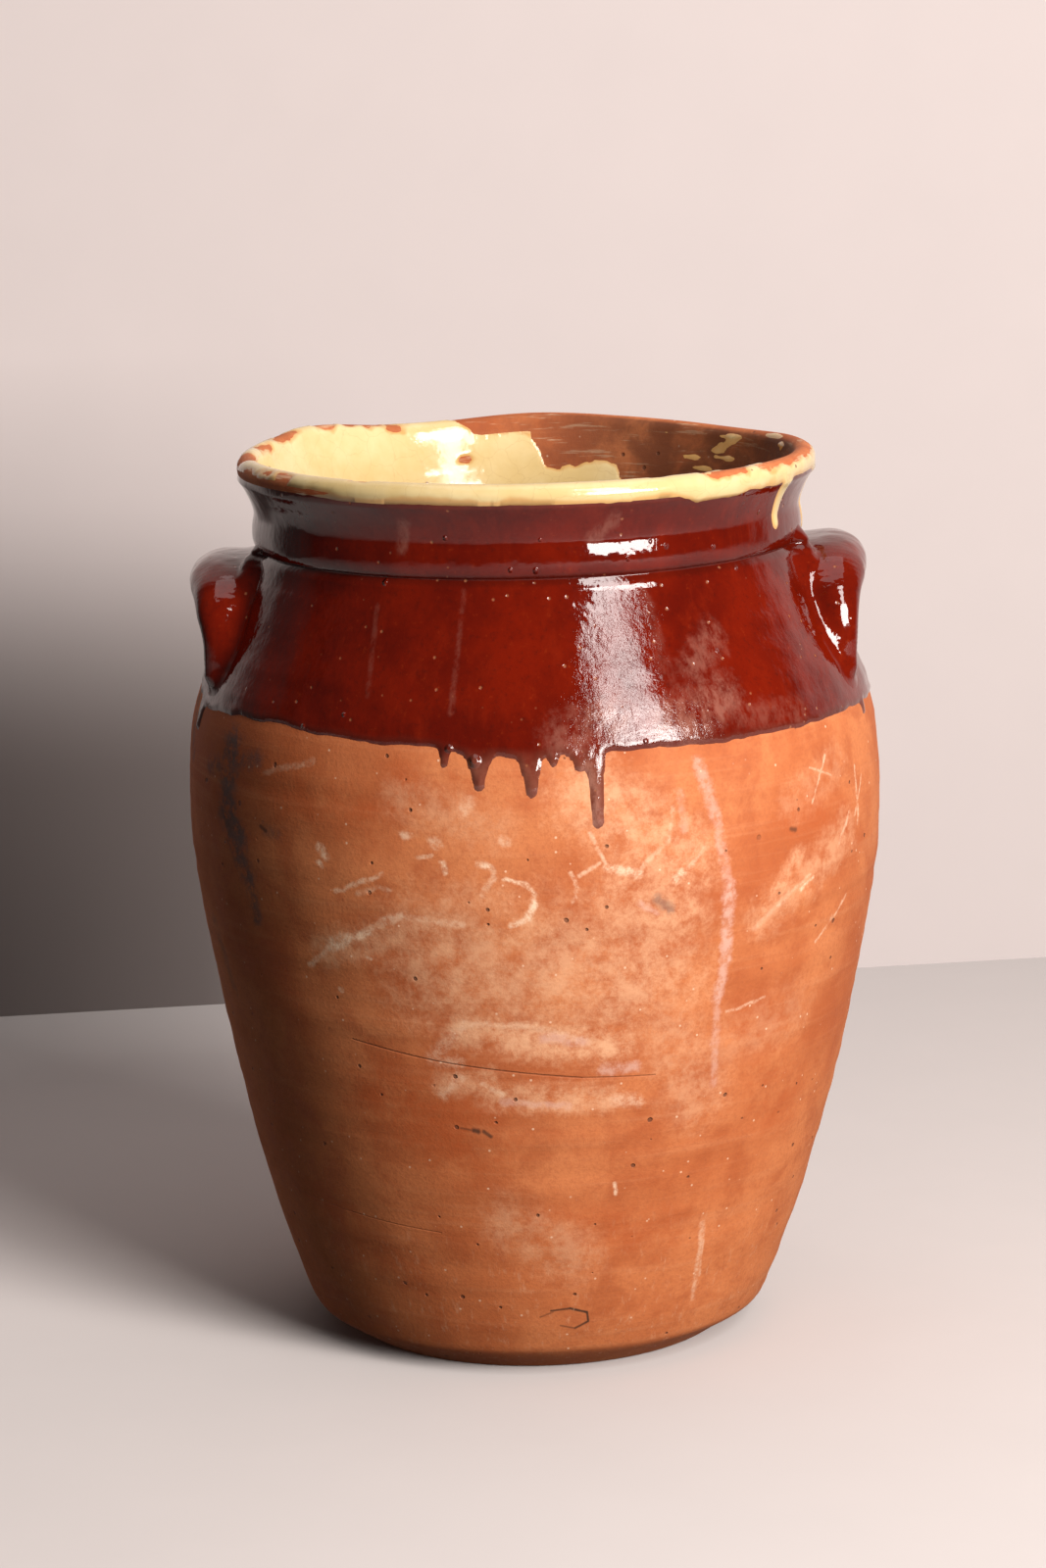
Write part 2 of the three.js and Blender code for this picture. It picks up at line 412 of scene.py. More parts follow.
# A stroke is the (bearing, height) of both ends, a half width and a strength
CHALK_MARKS = [  # pale scrapes in the clay
    ((-7.9, 185), (-6.2, 183.5), 1.4, 0.9), ((-6.2, 183.5), (-5.7, 180), 1.1, 0.5),
    ((-5.7, 180), (-7.4, 175), 1.3, 0.4), ((-3.9, 180), (-1.2, 178.4), 0.8, 0.9),
    ((-1.2, 178.4), (0.4, 175), 1, 0.95), ((0.4, 175), (0.6, 171.6), 1.1, 1),
    ((0.6, 171.6), (-0.3, 167.4), 1.3, 1), ((-0.3, 167.4), (-3.2, 164.8), 1, 0.8),
    ((-35.4, 186.6), (-34.2, 184.4), 1.8, 0.95), ((-35.6, 182), (-35, 181), 1.2, 0.9),
    ((-32.4, 173), (-24, 180), 1, 0.6), ((-28.4, 173), (-25, 175.6), 1.1, 0.4),
    ((-25, 175.6), (-22.6, 174.6), 1, 0.4), ((-39.8, 146), (-34.6, 154), 1.3, 0.6),
    ((-34.6, 154), (-31, 157), 2.5, 0.95), ((-31, 157), (-27, 159.6), 1.8, 0.85),
    ((-28.5, 159), (-23.7, 164.2), 1.6, 0.5), ((-23.7, 164.2), (-20.9, 166.4), 1.8, 0.6),
    ((-20.9, 166.4), (-10.8, 164.7), 1.2, 0.45), ((-20.1, 193.5), (-19.6, 193), 1.6, 0.6),
    ((-15.2, 191.5), (-14.6, 190.6), 1.9, 0.5), ((-4.1, 192.4), (-3.7, 191.6), 1.8, 0.5),
    ((-10.4, 201), (-9.2, 205), 2, 0.4), ((-13.8, 184.6), (-13.4, 181.6), 1.2, 0.85),
    ((-18, 186), (-15.4, 187), 0.8, 0.55), ((-34.2, 139.3), (-33.8, 138.8), 1, 0.8),
    ((-27.7, 151.5), (-27, 151.3), 0.8, 0.7), ((-48, 208), (-37, 214), 1.2, 0.3),
    ((-17, 120), (-11.4, 131), 2.4, 0.35), ((-11.4, 131), (-1, 130.6), 1.4, 0.35),
    ((-18, 118), (-13, 117), 2.6, 0.4), ((0, 130), (9, 124), 1.6, 0.3),
    ((-13, 112), (-16, 106), 2.4, 0.4), ((-9, 110), (-6, 106), 1.2, 0.5),
    ((9.4, 194), (12, 182.4), 0.9, 0.6), ((12, 182.4), (16.9, 179.6), 1.7, 0.8),
    ((17, 181), (22, 190), 0.9, 0.5), ((22, 190), (22.6, 200), 0.8, 0.35),
    ((23.4, 176.6), (28, 185.8), 1, 0.4), ((23, 177), (24, 178.4), 1.8, 0.8),
    ((6.2, 181), (7.2, 177), 0.9, 0.7), ((7.2, 177), (6.4, 172), 0.8, 0.6),
    ((7.6, 180), (10.6, 184), 0.7, 0.55), ((50.4, 205), (56.4, 200.4), 0.5, 0.5),
    ((54.8, 208), (50.6, 194), 0.6, 0.6), ((65, 200), (65.4, 181), 0.8, 0.6),
    ((68, 196), (64, 184), 0.6, 0.5), ((61.6, 186), (58.2, 177), 0.7, 0.55),
    ((49.6, 170), (42.4, 162), 0.9, 0.5), ((50.4, 169), (47.6, 166), 0.9, 0.8),
    ((62.4, 158), (53.4, 145.6), 0.7, 0.6), ((58, 153), (56.4, 149), 0.7, 0.5),
    ((45, 166), (38, 156), 1.2, 0.3), ((34, 129), (42, 131), 0.7, 0.5),
    ((35.6, 52), (37.6, 24), 1.5, 0.45), ((36.4, 48), (38, 32), 0.8, 0.5),
    ((14.6, 73), (15.2, 69), 0.9, 0.9), ((14.4, 103), (18, 102), 2.6, 0.5),
    ((126, 160), (148, 171), 1.8, 0.6), ((150, 120), (166, 112), 1.4, 0.5),
    ((-150, 182), (-132, 174), 1.6, 0.6), ((-128, 120), (-112, 131), 1.3, 0.5),
    ((-172, 90), (-158, 84), 1.5, 0.5), ((98, 128), (112, 121), 1.2, 0.5),
    ((-92, 108), (-78, 116), 1.1, 0.45), ((164, 199), (178, 196), 1.2, 0.5),
]
FLUSHES = [  # places where the clay fired redder
    ((-28, 102), (-12, 90), 19, 0.75), ((-42, 204), (-26, 197), 13, 0.5),
    ((2, 60), (26, 52), 12, 0.5), ((40, 122), (52, 86), 15, 0.5), ((-20, 212), (2, 208), 8, 0.5),
    ((-50, 60), (-30, 40), 14, 0.5), ((46, 190), (60, 186), 9, 0.4),
    ((110, 190), (140, 140), 20, 0.5), ((-165, 150), (-120, 90), 22, 0.5),
]
SCUFFS = [  # broad worn patches
    ((-13, 152), (17, 148), 27, 0.6), ((22, 130), (30, 100), 14, 0.4), ((-6, 60), (8, 46), 12, 0.4),
    ((10, 205), (24, 182), 15, 0.65), ((13, 172), (24, 165), 11, 0.65),
    ((-20, 205), (-6, 196), 9, 0.35), ((-12, 129), (14, 122), 8, 0.8),
    ((-8, 106), (12, 104), 6, 0.7), ((40, 160), (60, 180), 9, 0.5),
    ((46, 196), (58, 204), 8, 0.3), ((-36, 152), (-14, 165), 7, 0.6),
    ((40, 162), (47, 178), 4, 0.6), ((-16, 109), (-8, 112), 5, 0.6),
    ((-2, 152), (22, 150), 14, 0.35), ((34, 118), (50, 124), 12, 0.25),
    ((130, 165), (160, 150), 16, 0.45), ((-150, 120), (-120, 130), 15, 0.4),
    ((-175, 185), (-150, 190), 12, 0.4), ((95, 90), (125, 84), 13, 0.3),
]
LILAC_RUNS = [  # thin runs of pale glaze
    ((27.6, 213), (30, 196), 2.4, 0.6), ((30, 196), (32.2, 173), 1.8, 0.55),
    ((32.2, 173), (32.7, 147), 2.3, 0.85), ((32.7, 147), (31.8, 133), 2.1, 0.8),
    ((31.8, 133), (32.9, 104), 1.8, 0.5), ((24, 205), (24.6, 192), 1.6, 0.35),
    ((2, 126), (8, 124), 2.2, 0.6), ((12, 114), (17, 114), 2.4, 0.7), ((-6, 104), (6, 102), 1.4, 0.5),
    ((17, 170), (20, 166), 1.2, 0.6), ((-154, 205), (-153, 160), 2, 0.6),
    ((118, 212), (118.6, 171), 1.7, 0.55),
]
SOOT = [  # smoky grey smears
    ((-58, 215), (-59, 197), 6.5, 0.85), ((-59, 197), (-55, 184), 5.5, 0.85),
    ((-60, 190), (-53, 172), 5, 0.8), ((-52.6, 172), (-52.2, 158), 3.6, 0.7),
    ((-66, 205), (-50, 212), 3.6, 0.6), ((-70, 150), (-66, 128), 3.4, 0.35),
    ((-84, 226), (-78, 205), 4, 0.5), ((160, 196), (164, 176), 4, 0.5),
    ((-116, 205), (-113, 180), 3, 0.4), ((-48, 190), (-45, 188), 3, 0.4),
    ((20, 171), (22, 167), 2.2, 0.5),
]
INK_MARKS = [  # thin dark lines and nicks: a curl near the base, a chip and two flecks
    ((2.4, 26.4), (6.6, 27), 0.5, 0.9), ((6.6, 27), (10.6, 25), 0.6, 1),
    ((10.6, 25), (11, 21.4), 0.6, 1), ((11, 21.4), (8, 19), 0.6, 0.9),
    ((8, 19), (4.6, 20.4), 0.45, 0.6), ((0, 24), (3, 26), 0.4, 0.5),
    ((-13.6, 94), (-11.6, 93.4), 0.5, 0.6), ((-11.2, 93.4), (-10.4, 93), 1.1, 0.9),
    ((-9.4, 93), (-8.2, 91.4), 0.8, 0.8), ((-49, 190), (-47.6, 189), 0.9, 0.8),
    ((45, 187), (46, 186.4), 1, 0.7),
]
SCORES = [  # fine lines cut into the clay
    ((-33, 122), (-16, 117), 0.35, 0.8), ((-16, 117), (8, 111.6), 0.35, 0.8),
    ((8, 111.6), (21, 110.4), 0.3, 0.6), ((-60, 60), (-20, 55), 0.3, 0.4),
    ((100, 140), (170, 133), 0.35, 0.6), ((-160, 70), (-100, 76), 0.3, 0.5),
]


CROOKED = 1.3  # mm that a chalk mark wanders from a straight line


def make_clay():
    g = Graph("bare terracotta")
    place = g.place()
    flat, height = g.unrolled(place)
    cloud = g.noise(place, 48, 4, 0.6)
    patch = g.noise(place, 15, 5, 0.62, 0.4)
    grain = g.noise(place, 1.3, 4, 0.7)
    bands = g.noise(place, (90, 90, 3.2), 4, 0.6)
    break_up = g.math("SUBTRACT", g.noise(place, 2.6, 4, 0.7), 0.5)
    crooked = g.scaled(g.add("TexNoise", 1, Vector=place, Scale=0.14, Detail=3.0), 2 * CROOKED)
    marked = g.vector("ADD", flat, g.vector("SUBTRACT", crooked, (CROOKED,) * 3))

    colour = g.mix(g.step(cloud, 0.36, 0.66), (0.46, 0.112, 0.032), (0.61, 0.195, 0.068))
    # painted light: the clay is made lighter towards the bottom, to match how it is lit
    colour = g.mix(g.step(height, 130, 40, 0, 0.4), colour, (0.66, 0.195, 0.062))
    colour = g.mix(g.step(patch, 0.44, 0.68, 0, 0.6), colour, (0.40, 0.085, 0.022))
    colour = g.mix(g.step(bands, 0.5, 0.72, 0, 0.22), colour, (0.68, 0.27, 0.12))
    colour = g.mix(g.step(grain, 0.42, 0.70, 0, 0.35), colour, (0.36, 0.09, 0.032))
    foot_band = g.step(g.math("ADD", height, g.times(break_up, 2.0)), 10.4, 8.8)
    colour = g.mix(g.times(foot_band, 0.45), colour, (0.34, 0.085, 0.028))

    flush = brush(g, flat, g.times(break_up, 0.6), FLUSHES)
    flush = g.times(flush, g.step(g.noise(place, 11, 5, 0.7), 0.36, 0.6))
    colour = g.mix(flush, colour, (0.45, 0.088, 0.020))
    scuff = brush(g, flat, g.times(break_up, 0.9), SCUFFS)
    scuff = g.times(scuff, g.step(g.noise(place, 7, 5, 0.75), 0.30, 0.66))
    colour = g.mix(scuff, colour, (0.82, 0.44, 0.245))
    soot = brush(g, flat, break_up, SOOT)
    soot = g.times(soot, g.step(g.noise(place, 5, 4, 0.7), 0.36, 0.56))
    colour = g.mix(soot, colour, (0.10, 0.072, 0.068))
    chalk = brush(g, marked, break_up, CHALK_MARKS)
    chalk = g.times(chalk, g.step(g.noise(place, 3.4, 6, 0.85), 0.38, 0.60, 0.12, 0.95))
    colour = g.mix(chalk, colour, (0.90, 0.62, 0.42))
    lilac = brush(g, marked, break_up, LILAC_RUNS)
    lilac = g.times(lilac, g.step(g.noise(place, 4, 4, 0.7), 0.36, 0.58, 0.25, 1))
    colour = g.mix(lilac, colour, (0.68, 0.38, 0.29))
    ink = brush(g, flat, g.times(break_up, 0.7), INK_MARKS)
    colour = g.mix(ink, colour, (0.07, 0.028, 0.014))
    score = brush(g, flat, g.times(break_up, 0.5), SCORES)
    colour = g.mix(g.times(score, 0.6), colour, (0.24, 0.07, 0.03))

    cells, chosen = g.specks(place, 0.16, 0.72, 0.76)
    size = g.step(g.noise(place, 6, 2), 0.3, 0.75, 0.04, 0.15)
    pit = g.times(g.step(g.math("SUBTRACT", cells, size), 0.04, -0.03), chosen)
    colour = g.mix(g.times(pit, 0.8), colour, (0.13, 0.042, 0.02))
    cells, chosen = g.specks(g.vector("ADD", place, (31, 7, 3)), 0.30, 0.84, 0.86, (0, 1, 0))
    dot = g.times(g.step(cells, 0.16, 0.08), chosen)
    colour = g.mix(g.times(dot, 0.6), colour, (0.92, 0.62, 0.42))

    drag = g.step(g.noise(place, (2.2, 2.2, 24), 4, 0.7), 0.55, 0.72)
    colour = g.mix(g.times(drag, g.step(height, 75, 30, 0, 0.4)), colour,
                   (0.72, 0.36, 0.20))

    streaks = g.step(g.noise(g.vector("ADD", place, (0, 0, 9)), (24, 24, 1.6), 4, 0.7), 0.56, 0.66)
    neck = g.times(streaks, g.step(height, 255, 268, 0, 0.5))
    colour = g.mix(neck, colour, (0.85, 0.60, 0.38))

    # grease stain and painted shade: the inside of the neck is darkened towards the right, where it
    # lies in shade
    reach = g.vector("LENGTH", g.vector("MULTIPLY", place, (1, 1, 0)))
    inside = g.times(g.step(reach, 93, 91.4), g.step(height, 250, 262))
    right = g.step(g.vector("DOT_PRODUCT", place, (1, 0, 0)), -30, 55, 0.2, 0.85)
    grease_and_painted_shade = g.times(g.times(inside, right), g.step(patch, 0.3, 0.6, 0.6, 1))
    colour = g.mix(grease_and_painted_shade, colour, (0.085, 0.026, 0.011))

    rough = g.step(patch, 0.2, 0.8, 0.86, 0.7)
    rough = g.math("SUBTRACT", rough, g.times(lilac, 0.25))
    wave_map = g.weighted((g.math("SUBTRACT", grain, 0.5), 0.16), (bands, 0.13), (pit, -0.5),
                          (score, -0.3))
    return g.finish(wave_map, 0.9, Base_Color=colour, Roughness=rough, IOR=1.45,
                    Specular_IOR_Level=0.35)


HAZE = [  # milky bloom in the brown coat
    ((24, 226), (34, 232), 9, 0.45), ((30, 242), (36, 250), 6, 0.3), ((6, 224), (14, 230), 8, 0.35),
    ((36, 226), (50, 224), 5, 0.2), ((-30, 262), (-28, 236), 1.2, 0.14),
    ((9.6, 214), (9.8, 198), 3, 0.8), ((-12, 268), (-12.6, 232), 1.2, 0.14),
    ((24, 266), (25, 240), 3.2, 0.12), ((-25, 282), (-24, 289), 3, 0.3),
    ((14, 284), (18, 290), 3, 0.25), ((150, 240), (165, 232), 8, 0.4),
    ((-150, 250), (-144, 230), 7, 0.35), ((-112, 236), (-106, 228), 6, 0.3),
]
WORN_GLAZE = [  # where the brown coat is pocked and less glossy
    ((12, 228), (20, 252), 15, 1), ((22, 226), (36, 232), 13, 0.9), ((34, 238), (44, 250), 9, 0.5),
    ((-36, 226), (-4, 222), 5, 0.5), ((140, 232), (165, 246), 14, 0.8),
]
BUBBLES = [  # glaze bubbles that dried as bright little blisters: bearing, height, radius
    (-29, 269.8, 1.3), (-2.6, 274.6, 1), (2.4, 274.2, 1.3), (26, 281.5, 0.9), (21, 276.6, 1),
    (29.5, 279.6, 1.2), (41, 277.4, 1.1), (47.6, 269.2, 0.9), (-15.6, 284.8, 1), (55, 286, 1),
    (-8.4, 217.4, 2.4), (-12.6, 221, 1.6), (-11, 215.6, 1.1), (-32, 229.5, 0.9), (3.4, 284, 0.8),
    (36, 246, 0.9), (19, 221.6, 1), (-40, 224.6, 1), (130, 240, 1.1), (-150, 262, 1.1),
    (160, 255, 1), (-120, 231, 1.2),
]


def make_brown():
    g = Graph("brown glaze")
    place = g.place()
    flat, height = g.unrolled(place)
    edge = g.add("Attribute", 2, {"attribute_name": "edge"})
    cloud = g.noise(place, 30, 4, 0.6)
    fleck = g.noise(place, 2.2, 4, 0.75)
    curtain = g.noise(place, (6, 6, 55), 4, 0.65)
    break_up = g.math("SUBTRACT", g.noise(place, 3, 4, 0.7), 0.5)

    colour = g.mix(g.step(cloud, 0.35, 0.7), (0.095, 0.004, 0.001), (0.155, 0.007, 0.001))
    colour = g.mix(g.step(curtain, 0.5, 0.75, 0, 0.4), colour, (0.20, 0.012, 0.002))
    colour = g.mix(g.step(fleck, 0.5, 0.8, 0, 0.6), colour, (0.045, 0.004, 0.002))
    colour = g.mix(g.step(fleck, 0.42, 0.2, 0, 0.5), colour, (0.27, 0.03, 0.005))
    # painted shade: the groove under the collar is darkened
    groove = g.times(g.step(height, 268.4, 270.4), g.step(height, 273.4, 272))
    colour = g.mix(g.times(groove, 0.35), colour, (0.03, 0.003, 0.001))
    thin = g.step(edge, 3.4, 0.7)
    low = g.step(height, 222, 214)
    colour = g.mix(g.times(thin, 0.5), colour, (0.085, 0.014, 0.008))
    purple = g.times(low, g.step(break_up, -0.3, 0.2, 0.35, 0.9))
    colour = g.mix(purple, colour, (0.20, 0.060, 0.036))
    haze = brush(g, flat, break_up, HAZE)
    haze = g.times(haze, g.step(g.noise(place, (4, 4, 9), 5, 0.75), 0.34, 0.62))
    colour = g.mix(haze, colour, (0.40, 0.17, 0.12))

    cells, chosen = g.specks(place, 0.22, 0.60, 0.64)
    pinhole = g.times(g.step(cells, 0.16, 0.05), chosen)
    colour = g.mix(g.times(pinhole, 0.55), colour, (0.42, 0.16, 0.07))

    worn = brush(g, flat, break_up, WORN_GLAZE)
    rough = g.math("ADD", 0.055, g.times(worn, g.step(fleck, 0.52, 0.7, 0, 0.14)))
    wave_map = g.weighted((g.noise(place, 5, 2, 0.5), 0.30), (g.noise(place, 1.1, 2, 0.6), 0.02),
                          (curtain, 0.18), (pinhole, -0.22))
    pocks = g.times(g.noise(place, 2.4, 4, 0.75), g.times(worn, 0.28))
    wave_map = g.math("ADD", wave_map, pocks)
    for bearing, z, radius in BUBBLES:
        gap = g.vector("DISTANCE", flat, spot_at(bearing, z))
        wave_map = g.math("ADD", wave_map, g.step(gap, radius, 0.25 * radius, 0, 0.9 * radius))
    return g.finish(wave_map, 0.6, Base_Color=colour, Roughness=rough, IOR=1.52)


def make_cream():
    g = Graph("cream glaze")
    place = g.place()
    edge = g.add("Attribute", 2, {"attribute_name": "edge"})
    cloud = g.noise(place, 24, 4, 0.6)
    fleck = g.noise(place, 1.8, 4, 0.7)
    colour = g.mix(g.step(cloud, 0.35, 0.7), (0.68, 0.495, 0.22), (0.75, 0.59, 0.31))
    colour = g.mix(g.step(fleck, 0.55, 0.8, 0, 0.3), colour, (0.66, 0.42, 0.15))
    colour = g.mix(g.step(edge, 1.6, 0.1, 0, 0.75), colour, (0.60, 0.30, 0.09))
    cells, chosen = g.specks(place, 0.12, 0.70, 0.74)
    speck = g.times(g.step(cells, 0.10, 0.05), chosen)
    colour = g.mix(g.times(speck, 0.85), colour, (0.16, 0.06, 0.03))
    wander = g.scaled(g.add("TexNoise", 1, Vector=place, Scale=0.3), 3.0)
    crackle = g.add("TexVoronoi", 0, {"feature": "DISTANCE_TO_EDGE"}, Scale=0.11, Randomness=1.0,
                    Vector=g.vector("ADD", place, wander))
    colour = g.mix(g.step(crackle, 0.016, 0.004, 0, 0.22), colour, (0.45, 0.25, 0.10))
    wave_map = g.weighted((g.noise(place, 6, 2, 0.5), 0.3), (g.noise(place, 1.2, 2, 0.6), 0.03),
                          (speck, -0.2))
    return g.finish(wave_map, 0.6, Base_Color=colour, Roughness=0.13, IOR=1.5)


clay, brown, cream = make_clay(), make_brown(), make_cream()


# ---- the clay

COLUMNS_CLAY = 320
COLUMNS_COAT = 600
COLUMNS_DEEP = 240
UNDERSIDE_RINGS = [(radius, 0) for radius in (0, 6, 16, 27, 38, 49, 59)]
FLOOR_RINGS = [(radius, FLOOR) for radius in (50, 38, 25, 12, 0)]


def full_turn(columns):
    return np.arange(columns) * 360 / columns - 180


def clay_body():
    outline = np.vstack([
        UNDERSIDE_RINGS, outside_outline(2.8), collar_outline(1.2), lip_outline(),
        inside_outline(1.8, 5), FLOOR_RINGS,
    ])
    return closed_turning("clay_jar", full_turn(COLUMNS_CLAY), outline, clay)


# ---- the brown coat

BROWN_COAT = 0.55
BROWN_TOP_Z = 296.6
BROWN_FINE_Z = (192, 232)  # heights between which its mesh is fine, for the drips and the edge
BROWN_EDGE = [  # (bearing, height) of the coat's lower edge, without its drips
    (-180, 219), (-160, 221.5), (-140, 218.5), (-120, 220), (-104, 223), (-90, 226), (-80, 224),
    (-72, 222), (-58, 223.6), (-46, 224.2), (-37, 222.6), (-27, 221.5), (-17, 221.6), (-12, 219.5),
    (-5, 218.6), (-2, 217.4), (3.7, 219.8), (7, 217.8), (12.5, 219), (19, 219.3), (29, 218.7),
    (47, 218.8), (60, 219.2), (74, 219), (90, 217.5), (106, 220), (122, 218), (140, 220.5),
    (160, 217.5), (180, 219),
]
BROWN_DRIPS = [  # bearing, height of the tip, half width at the top and at the tip
    (-14.4, 215.2, 1.9, 1.3), (-8.8, 208, 4.9, 1.5), (-0.6, 205.8, 4, 1.5),
    (3, 215.4, 2.4, 1.2), (7.2, 213.4, 3.4, 1.6), (9.6, 195.2, 3.2, 1.7), (73.5, 214.6, 1.8, 1.1),
    (-76, 213.5, 4.2, 2.2), (104, 210.5, 2.2, 1.3), (131, 213.8, 3, 1.4), (151, 206, 3.4, 1.6),
    (-168, 211.5, 2.6, 1.4), (-149, 203.5, 3, 1.5), (-117, 212.5, 2.4, 1.3),
]


def drip_field(bearing, radius, z, drip, top_z):
    """Distance inside one drip, which narrows from its top to a round tip."""
    middle, tip_z, top_half, tip_half = drip
    aside = np.abs(np.radians(around(bearing, middle)) * radius)
    down = np.clip((z - tip_z - tip_half) / np.maximum(top_z - tip_z - tip_half, 0.1), 0, 1)
    half = tip_half + (top_half - tip_half) * down**1.5
    below = np.clip(tip_z + tip_half - z, 0, None)
    inside = half - np.hypot(aside, below)
    return np.where(z > top_z + 6, -CLEAR, inside)


def brown_field(bearings, outline):
    raw = surface(bearings, outline, 0, raw=True)
    z, radius, bearing = raw[..., 2], outline[None, :, 0], bearings[:, None]
    rough = 0.5 * ragged(raw, 5, 21)
    line = wave(bearing, BROWN_EDGE)
    field = z - line + rough
    for drip in BROWN_DRIPS:
        field = smooth_max(field, drip_field(bearing, radius, z, drip, line) + 0.5 * rough, 1.6)
    return np.minimum(field, BROWN_TOP_Z - z)


def rise(field, full, bead):
    """A coat's thickness: a rounded edge with a bead along it, and a dip under the clay outside."""
    bead_at, bead_width, dip = 1.3, 1.2, 0.3
    inside = np.clip(field, 0, None)
    thick = full * (1 - np.exp(-inside / 1.1))
    thick = thick + bead * np.exp(-(((inside - bead_at) / bead_width) ** 2))
    start = bead * math.exp(-((bead_at / bead_width) ** 2))
    thick -= start * np.exp(-inside / 0.6)
    return np.where(field > 0, thick, -dip * np.clip(-field / 0.8, 0, 1))


def brown_thickness(bearings, outline):
    field = brown_field(bearings, outline)
    raw = surface(bearings, outline, 0, raw=True)
    low = smooth_step(228, 214, raw[..., 2])
    curtain = 0.12 * noise(raw, (7, 7, 60), 23) + 0.1 * noise(raw, 9, 24)
    return field, rise(field, BROWN_COAT, 0.16 + 0.3 * low) + curtain * smooth_step(0, 4, field)


def brown_coat():
    bottom, top = BROWN_FINE_Z
    band = outside_outline(1.1)
    low = band[(band[:, 1] > bottom) & (band[:, 1] < top)]
    shoulder = outside_outline(2)
    shoulder = shoulder[shoulder[:, 1] > low[-1, 1] + 1]
    under_lip = [(96.8, 296.8), lip_outline()[0]]
    outline = np.vstack([low, shoulder, collar_outline(0.9), under_lip])
    bearings = full_turn(COLUMNS_COAT)
    field, thickness = brown_thickness(bearings, outline)
    return coat_sheet("brown_glaze", bearings, outline, field, thickness, 0, brown)


# ---- the cream coat

CREAM_COAT = 0.4
CREAM_START_Z = 271.5  # where the fine mesh of the rim starts, on the collar
CREAM_RIM_Z = 240  # where it ends, inside the jar
CREAM_DEEP_Z = 244  # where the coarser mesh below it starts, tucked behind it
CREAM_DEEP_START = 58  # its distance along the wall from the lip's crown
CREAM_EDGE = [  # (bearing, height) of its lower edge on the outside of the lip
    (-180, 296), (-150, 295), (-120, 296.4), (-95, 297.4), (-77, 299.2), (-61, 299.4), (-50, 298.8),
    (-42, 298), (-37, 296.6), (-29, 296.4), (-22, 297.8), (-14, 297.4), (-6, 296.2), (-3, 297.8),
    (3, 297), (8, 295.9), (17, 295.7), (28, 296.6), (31, 295.6), (34.5, 293.4), (44, 293.8),
    (50, 295), (57, 294.8), (66, 296), (78, 295.6), (84, 292.5), (95, 295), (120, 296),
    (150, 294.5), (180, 296),
]
CREAM_DRIPS = [  # as the brown drips are given
    (62, 278.8, 3.6, 2.2), (86.5, 272.6, 3, 2.2), (118, 283, 2.6, 1.8),
    (-98, 286.5, 2.8, 1.7), (163, 280, 3, 2),
]
BARE_DEPTH = [  # (bearing, depth in mm inside the rim) down to which the lining has flaked off
    (-164, 0.5), (-168, 6), (-173, 8), (-178, 7), (179, 10), (176.5, 15), (175, 20), (172, 21),
    (169, 19.5), (165, 18.5), (160, 18.5), (157.4, 20), (156, 27), (153, 38), (147, 46), (138, 52),
    (127, 49), (118, 56), (108, 47), (99, 40), (92, 30), (86, 21), (80, 14), (74, 8), (68, 4),
    (60, 1.5), (52, 0.5),
]
BARE_FROM, BARE_TO = 52, 196  # bearings between which the rim's crown is bare
BARE_OUTSIDE = 3.4  # how far the bare crown reaches down the outside of the lip
CHIPS = [  # bearing, depth, half length round the jar, half height
    (-87, -1, 11, 4.5), (-103, 1.5, 6, 2.2), (-116, 1, 6.5, 2.6), (-131, 0.6, 5, 3),
    (-143, 0.2, 11, 1.9), (-150, 2.2, 3, 1.4), (-56, -3, 4, 1.8), (-70, -4.4, 5, 1.6),
    (-166, 16, 2, 0.9), (-62, -2, 2.2, 1.2), (27, 1.4, 3, 0.9), (43, -1.5, 7, 2.2),
    (37, 1, 3.5, 1.3), (49, 0.6, 4, 1.8), (-35, 1.2, 2.2, 0.8), (-139, 33, 1.4, 0.9),
    (-118, 52, 2, 1), (-60, 24, 2.6, 1.4), (-20, 18, 2.2, 1), (14, 34, 2.4, 1.3),
]
REMNANTS = [  # islands of lining left inside the bare part, as chips are given
    (126, 5, 6, 1.4), (122, 8, 4, 0.9), (110, 2.2, 8, 1.3), (103, 5, 3.4, 1.1), (138, 14, 4, 1.1),
    (134, 17.5, 4.5, 1), (130, 10.5, 3.2, 0.9), (127, 12.8, 4.5, 1), (150, 30, 3, 1.2),
    (112, 28, 5, 2.4), (146, 7, 2.6, 0.9), (97, 16, 4.5, 2),
]


def spot_field(bearing, radius, depth, spot):
    """Distance inside an oval spot, roughly, in mm."""
    middle, middle_depth, half_length, half_height = spot
    along = np.radians(around(bearing, middle)) * radius / half_length
    down = (depth - middle_depth) / half_height
    return (1 - np.hypot(along, down)) * half_height


def cream_field(bearings, outline, depth):
    """depth is the distance along the outline from the lip's crown, positive on the inside."""
    raw = surface(bearings, outline, 0, raw=True)
    z, radius, bearing = raw[..., 2], outline[None, :, 0], bearings[:, None]
    depth = depth[None, :]
    fine = ragged(raw, 3.6, 31)
    line = wave(bearing, CREAM_EDGE)
    outer = z - line + 0.45 * fine
    for drip in CREAM_DRIPS:
        outer = smooth_max(outer, drip_field(bearing, radius, z, drip, line) + 0.2 * fine, 1.2)
    outer = np.where(depth > -2, CLEAR, outer)

    turn = np.mod(bearing, 360)
    in_range = np.minimum(turn - BARE_FROM, BARE_TO - turn) * np.radians(1) * radius
    crown = wave(np.where(turn > 180, turn - 360, turn), BARE_DEPTH) - depth
    bare = np.minimum(np.minimum(crown, depth + BARE_OUTSIDE), in_range)
    for spot in REMNANTS:
        bare = np.minimum(bare, -spot_field(bearing, radius, depth, spot) - 1.7 * fine)
    for spot in CHIPS:
        bare = np.maximum(bare, spot_field(bearing, radius, depth, spot))
    bare = bare + 1.3 * fine
    return np.minimum(outer, -bare)


